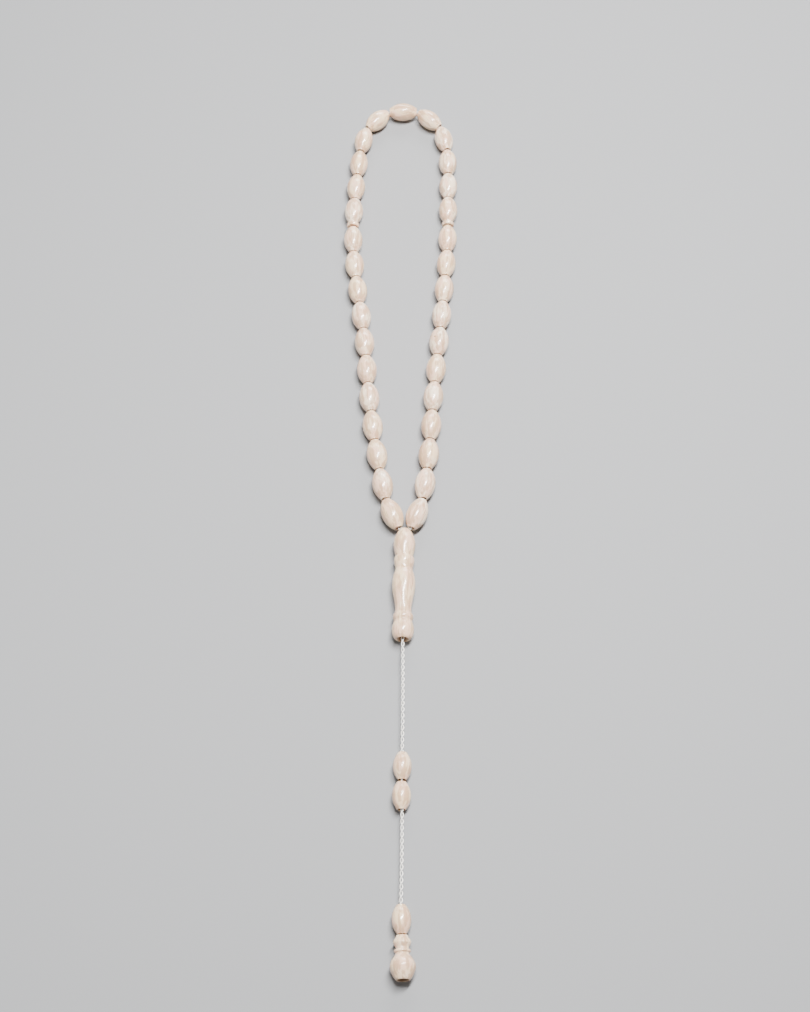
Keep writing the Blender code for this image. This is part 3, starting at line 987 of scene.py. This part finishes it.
class MISBAHA_OT_tail_cord(bpy.types.Operator):
    """Lay the two-ply tail cord from the leader's bore to the finial's socket"""

    bl_idname = "misbaha.tail_cord"
    bl_label = "Tail Cord"

    inside = 15.0 * MM
    bend_before = 1.2 * MM
    bend_after = 3.0 * MM
    loose_last = 9.0 * MM
    loosening = 0.08
    fibre_length = 0.9 * MM
    long_stretch = 20.0 * MM
    bow = 0.2 * MM

    def execute(self, context):
        cord = settings("cord")
        mouth, top, finial, down = tail_places()
        way = (top - mouth).normalized()
        upper, _ = place_of(COUNTER_BEADS[0])
        cut = mouth + way * (upper - mouth).dot(way)
        leader_end = mouth - leader_axis()[2] * self.inside
        socket = finial + down * ((FINIAL_OUTLINE[-1][0] - FINIAL_SOCKET_DEPTH) * MM)
        self.lay(
            "tail_cord_upper", [leader_end, mouth, cut], "leader", "tail",
            mouth - way * self.bend_before, mouth + way * self.bend_after,
            mouth, ("leader_cord", "tail_cord"), 0.0, 11,
        )
        phase = way_length([leader_end, mouth, cut]) / cord.pitch * math.tau
        loose_from = (top - cut).length - self.loose_last
        self.lay(
            "tail_cord_lower", [cut, top, socket], "tail", "pendant",
            top - way * self.bend_after, top + down * self.bend_before,
            cut, ("pendant_cord",), phase, 12, loose_from,
        )
        return {"FINISHED"}

    def bowed_way(self, start, end):
        """A way between two places that bows a little to the right on its long free stretches."""
        way = straight_way(start, end, 2.5 * MM)
        if (end - start).length < self.long_stretch:
            return way
        last = len(way) - 1
        return [
            spot + Vector((math.sin(math.pi * at / last) * self.bow, 0.0, 0.0))
            for at, spot in enumerate(way)
        ]

    def lay(
        self, name, corners, body, next_body, start, end, leaves, nodes, phase, seed, loose_from=1.0
    ):
        cord = settings("cord")
        points = [corners[0]]
        for here, there in zip(corners, corners[1:]):
            points.extend(self.bowed_way(here, there)[1:])
        loosening = self.loosening if loose_from < 1.0 else 0.0
        made = laid(name, points, cord.thickness, cord.pitch, phase, loose_from, loosening)
        with_fibres(made, cord.fibres, self.fibre_length, seed)
        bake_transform(made)
        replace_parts(made, *nodes)
        round(way_length(points), 4)


class MISBAHA_OT_loop_strand(bpy.types.Operator):
    """Thread the loop's strand through its beads, in pieces"""

    bl_idname = "misbaha.loop_strand"
    bl_label = "Loop Strand"

    cuts = (15, 12, 9, 7, 4)
    bend = 1.0 * MM
    inner_spread = 0.52 * MM
    turn_at = (1.35 * MM, 0.7 * MM)
    depths = (13.0 * MM, 8.0 * MM, 3.0 * MM, 0.0)
    order = (16, 15, 14, 13, 12, 11, 10, 9, 8, 7, 6, DIVIDER_RANK, 5, 4, 3, 2, 1, TOP_RANK)

    def execute(self, context):
        for side in SIDES_OF_LOOP:
            first = self.lower_end(side) + self.run_between(side, STRAND_BEADS, self.cuts[0])[1:]
            self.lay(side, 1, first, "leader", (f"{side}_loop_end", f"{side}_loop_cord_1"))
            for number, (low, high) in enumerate(zip(self.cuts, self.cuts[1:]), 2):
                way = self.run_between(side, low, high)
                body = f"{side}_strand_{number - 1}"
                self.lay(side, number, way, body, (f"{side}_loop_cord_{number}",))
        over = self.run_between("left", self.cuts[-1], TOP_RANK)
        self.lay("left", 6, over, "left_strand_5", ("arch_loop_cord",))
        middle, along = place_of("top_bead")
        down = [middle, middle + along * (bead_size(1)[0] / 2)]
        down += [*self.bead_ends("right", 1)[::-1], *self.bead_ends("right", 2)[::-1]]
        self.lay_stub("right_strand_over_top", down, "top_arch")
        up = [*self.bead_ends("right", 4)[1:], *self.bead_ends("right", 3)]
        self.lay_stub("right_strand_shoulder", up, "right_strand_5")
        return {"FINISHED"}

    def bead_ends(self, side, rank):
        centre, along = place_of(node_of(side, rank))
        if rank == TOP_RANK and side == "right":
            along = -along
        length = DIVIDER_SIZE[0] if rank == DIVIDER_RANK else bead_size(rank)[0]
        half = along * (length / 2)
        return [centre - half, centre, centre + half]

    def lower_end(self, side):
        """The strand's way from inside the leader to its lowest bead."""
        top, _, down = leader_axis()
        across = -1 if side == "left" else 1
        inner = top + Vector((across * self.inner_spread, 0.0, 0.0))
        start, centre, _ = self.bead_ends(side, STRAND_BEADS)
        turn = Vector((top.x + across * self.turn_at[0], top.y + self.turn_at[1], centre.z))
        return [inner + down * depth for depth in self.depths] + [turn, start, centre]

    def run_between(self, side, low, high):
        """The strand's points from the middle of one piece to the middle of a higher one."""
        ranks = self.order[self.order.index(low) : self.order.index(high) + 1]
        points = [spot for rank in ranks for spot in self.bead_ends(side, rank)]
        return points[1:-1]

    def shaped(self, name, points):
        cord = settings("cord")
        way = smooth_way(points, 4)
        return laid(name, way, cord.strand, cord.pitch * 0.5, sides=THIN_SIDES)

    def lay(self, side, number, points, body, nodes):
        made = self.shaped(f"{side}_strand_{number}", points)
        if number == 6:
            joint, next_body = JOINTS["follow_top_arch"], "top_arch"
        else:
            name = "loop_spread" if (side, number) == ("left", 1) else f"follow_{side}_{number}"
            joint, next_body = JOINTS[name], f"{side}_strand_{number}"
        pivot = Vector(joint["pos_m"])
        pivot.z = points[-1].z
        way = min(points[1:], key=lambda spot: (spot - pivot).length)
        toward = points[points.index(way) + 1] - points[points.index(way) - 1]
        along = toward.normalized() * self.bend
        tuple(pivot - along)
        tuple(pivot + along)
        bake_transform(made)
        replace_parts(made, *nodes)

    def lay_stub(self, name, points, body):
        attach(self.shaped(name, points), body)


class MISBAHA_OT_loop_beads(bpy.types.Operator):
    """Turn the loop's barrel beads"""

    bl_idname = "misbaha.loop_beads"
    bl_label = "Loop Beads"

    end_radius = 1.5 * MM
    bore = 0.9 * MM
    pitted = ("right_bead_10", Vector((-1.55, 0.4, 3.2)) * MM)

    def execute(self, context):
        turned_bead("top_bead", bead_size(1), self.end_radius, self.bore, 3)
        for turn, side in enumerate(SIDES_OF_LOOP):
            for rank in range(1, STRAND_BEADS + 1):
                node = f"{side}_bead_{rank:02d}"
                mark = None
                if node == self.pitted[0]:
                    mark = place_of(node)[0] + self.pitted[1]
                seed = 11 + 29 * turn + 7 * rank
                turned_bead(node, bead_size(rank), self.end_radius, self.bore, seed, mark)
        return {"FINISHED"}


class MISBAHA_OT_divider_discs(bpy.types.Operator):
    """Turn the thin discs that divide the loop's beads"""

    bl_idname = "misbaha.divider_discs"
    bl_label = "Divider Discs"

    bore = 0.9 * MM
    edge = 2.15 * MM
    rim = 0.3 * MM
    bore_reach = 0.4

    def execute(self, context):
        length, radius = DIVIDER_SIZE
        outline = barrel_outline(length, radius, self.edge, self.bore, self.rim, rows=8)
        deepest = length * self.bore_reach
        inner = [
            (max(-deepest, min(deepest, x)) if stain >= 1.0 else x, rise, stain)
            for x, rise, stain in outline
        ]
        for seed, side in enumerate(SIDES_OF_LOOP, 301):
            node = f"{side}_divider_disc"
            centre, along = place_of(node)
            made = turned(f"{node}_turned", inner, turned_place(centre, along), seed)
            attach(made, node)
            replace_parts(made, node)
        return {"FINISHED"}


class MISBAHA_OT_tail_beads(bpy.types.Operator):
    """Turn the two counter beads and the tail bead"""

    bl_idname = "misbaha.tail_beads"
    bl_label = "Tail Beads"

    def execute(self, context):
        for seed, node in enumerate((*COUNTER_BEADS, "tail_bead"), 403):
            turned_bead(node, TAIL_BEAD_SIZE, TAIL_BEAD_END, TAIL_BORE * MM, seed)
        return {"FINISHED"}


class MISBAHA_OT_leader(bpy.types.Operator):
    """Turn the long leader that joins the loop to the tail"""

    bl_idname = "misbaha.leader"
    bl_label = "Leader"

    def execute(self, context):
        length, last_radius = LEADER_OUTLINE[-1]
        low, high = LEADER_CHAMBER_ENDS
        inside = [
            (length, (last_radius + LEADER_MOUTH) / 2, 0.2), (length, LEADER_MOUTH + 0.12, 0.45),
            (length - 0.1, LEADER_MOUTH, 0.75), (length - 1.0, 1.52, 1.0),
            (length - LEADER_MOUTH_DEPTH, LEADER_BORE, 1.0), (high + 0.8, LEADER_BORE, 1.0),
            (high, LEADER_CHAMBER, 1.0), (low, LEADER_CHAMBER, 1.0),
            (low - 0.8, LEADER_THROAT, 1.0),
            (1.0, LEADER_THROAT, 1.0), (0.1, LEADER_THROAT, 0.9), (0.0, LEADER_THROAT + 0.1, 0.7),
        ]
        outline = smooth_outline(LEADER_OUTLINE, OUTLINE_STEPS, (0.25, 0.12), LEADER_GROOVES)
        outline += [(x * MM, radius * MM, stain) for x, radius, stain in inside]
        top, _, down = leader_axis()
        place = turned_place(top, down)
        made = turned("leader_turned", outline, place, 57, waves=LONG_PIECE_WAVES)
        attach(made, "leader")
        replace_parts(made, "leader")
        return {"FINISHED"}


class MISBAHA_OT_finial(bpy.types.Operator):
    """Turn the finial with its open end"""

    bl_idname = "misbaha.finial"
    bl_label = "Finial"

    def execute(self, context):
        length, last_radius = FINIAL_OUTLINE[-1]
        socket = length - FINIAL_SOCKET_DEPTH
        inside = [
            (length, (last_radius + FINIAL_SOCKET) / 2, 0.3), (length, FINIAL_SOCKET + 0.1, 0.55),
            (length - 0.1, FINIAL_SOCKET, 0.8), (length - 2.0, FINIAL_SOCKET, 1.0),
            (socket, FINIAL_SOCKET, 1.0), (socket - 0.8, TAIL_BORE, 1.0), (1.0, TAIL_BORE, 1.0),
            (0.1, TAIL_BORE, 0.9), (0.0, TAIL_BORE + 0.1, 0.7),
        ]
        outline = smooth_outline(FINIAL_OUTLINE, OUTLINE_STEPS, (0.2, 0.2), FINIAL_GROOVES)
        outline += [(x * MM, radius * MM, stain) for x, radius, stain in inside]
        top, down = place_of("finial")
        place = turned_place(top, down)
        made = turned("finial_turned", outline, place, 71, waves=LONG_PIECE_WAVES)
        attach(made, "finial")
        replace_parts(made, "finial")
        return {"FINISHED"}


class MISBAHA_OT_knots(bpy.types.Operator):
    """Tie the knot in the leader and the one in the finial's end"""

    bl_idname = "misbaha.knots"
    bl_label = "Knots"

    turns = 72
    reach = 0.95 * MM
    rope = 0.86 * MM
    half_length = 1.22 * MM
    pitch = 2.4 * MM

    def execute(self, context):
        knots = (
            ("leader_knot", "leader", leader_axis()[2]),
            ("end_knot", "pendant", place_of("tail_bead")[1]),
        )
        for node, body, along in knots:
            low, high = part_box(node)
            place = turned_place((low + high) / 2, along)
            made = self.tied(f"{node}_tied", place)
            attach(made, body)
            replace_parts(made, node)
        return {"FINISHED"}

    def tied(self, name, place):
        """A tight overhand knot, its loop lying across the cord's way."""
        points = []
        for at in range(self.turns + 1):
            t = math.tau * at / self.turns
            y = (math.sin(t) + 2 * math.sin(2 * t)) / 3
            z = (math.cos(t) - 2 * math.cos(2 * t)) / 3
            x = -math.sin(3 * t) * self.half_length
            points.append(place @ Vector((x, y * self.reach, z * self.reach)))
        made = laid(name, points, self.rope, self.pitch, sides=THIN_SIDES)
        made.data.materials.clear()
        made.data.materials.append(knot_surface())
        return made


class MISBAHA_OT_stage(bpy.types.Operator):
    """Lay the pale floor and set the soft lights"""

    bl_idname = "misbaha.stage"
    bl_label = "Stage"

    floor_half = 4.0
    floor_drop = 0.1 * MM
    lights = {
        "key": ((0.10, 0.1, 0.71), (0.1, 0.45)),
        "end": ((0.1, 0.78, 0.42), (0.5, 0.22)),
        "fill": ((-0.6, -0.35, 0.6), (0.8, 0.8)),
    }
    sky_tone = (1.0, 0.985, 0.965)
    sky_strength = 0.22

    def execute(self, context):
        half = self.floor_half
        corners = [(-half, -half), (half, -half), (half, half), (-half, half)]
        mesh = bpy.data.meshes.new("floor")
        mesh.from_pydata([(x, y, -self.floor_drop) for x, y in corners], [], [(0, 1, 2, 3)])
        mesh.materials.append(floor_surface())
        floor = bpy.data.objects.new("floor", mesh)
        context.collection.objects.link(floor)
        stage = settings("stage")
        for name, (place, size) in self.lights.items():
            self.light(f"{name}_light", place, size, getattr(stage, f"{name}_power"))
        world = bpy.data.worlds.new("studio")
        world.use_nodes = True
        background = world.node_tree.nodes["Background"]
        background.inputs["Color"].default_value = colour(self.sky_tone)
        background.inputs["Strength"].default_value = self.sky_strength
        context.scene.world = world
        return {"FINISHED"}

    def light(self, name, place, size, power):
        data = bpy.data.lights.new(name, "AREA")
        data.shape = "RECTANGLE"
        data.size, data.size_y = size
        data.energy = power
        lamp = bpy.data.objects.new(name, data)
        lamp.location = place
        lamp.rotation_euler = (-Vector(place)).to_track_quat("-Z", "Y").to_euler()
        bpy.context.collection.objects.link(lamp)


class MISBAHA_PT_string(bpy.types.Panel):
    """The pieces of the string and their settings"""

    bl_label = "Misbaha"
    bl_idname = "MISBAHA_PT_string"
    bl_space_type = "VIEW_3D"
    bl_region_type = "UI"
    bl_category = "Misbaha"

    def draw(self, context):
        for group in SETTINGS:
            box = self.layout.box()
            for name in SETTINGS[group].__annotations__:
                box.prop(getattr(context.scene, f"misbaha_{group}"), name)
        for operator in OPERATORS:
            self.layout.operator(operator.bl_idname)


SETTINGS = {"bone": MISBAHA_PG_bone, "cord": MISBAHA_PG_cord, "stage": MISBAHA_PG_stage}
OPERATORS = (
    MISBAHA_OT_camera,
    MISBAHA_OT_tail_cord,
    MISBAHA_OT_loop_strand,
    MISBAHA_OT_loop_beads,
    MISBAHA_OT_divider_discs,
    MISBAHA_OT_tail_beads,
    MISBAHA_OT_leader,
    MISBAHA_OT_finial,
    MISBAHA_OT_knots,
    MISBAHA_OT_stage,
)
CLASSES = (*SETTINGS.values(), *OPERATORS, MISBAHA_PT_string)


def register():
    for item in CLASSES:
        bpy.utils.register_class(item)
    for name, group in SETTINGS.items():
        setattr(bpy.types.Scene, f"misbaha_{name}", bpy.props.PointerProperty(type=group))


def unregister():
    for name in SETTINGS:
        delattr(bpy.types.Scene, f"misbaha_{name}")
    for item in reversed(CLASSES):
        bpy.utils.unregister_class(item)


def main():
    register()
    for operator in OPERATORS:
        prefix, name = operator.bl_idname.split(".")
        getattr(getattr(bpy.ops, prefix), name)()


if __name__ == "__main__":
    main()
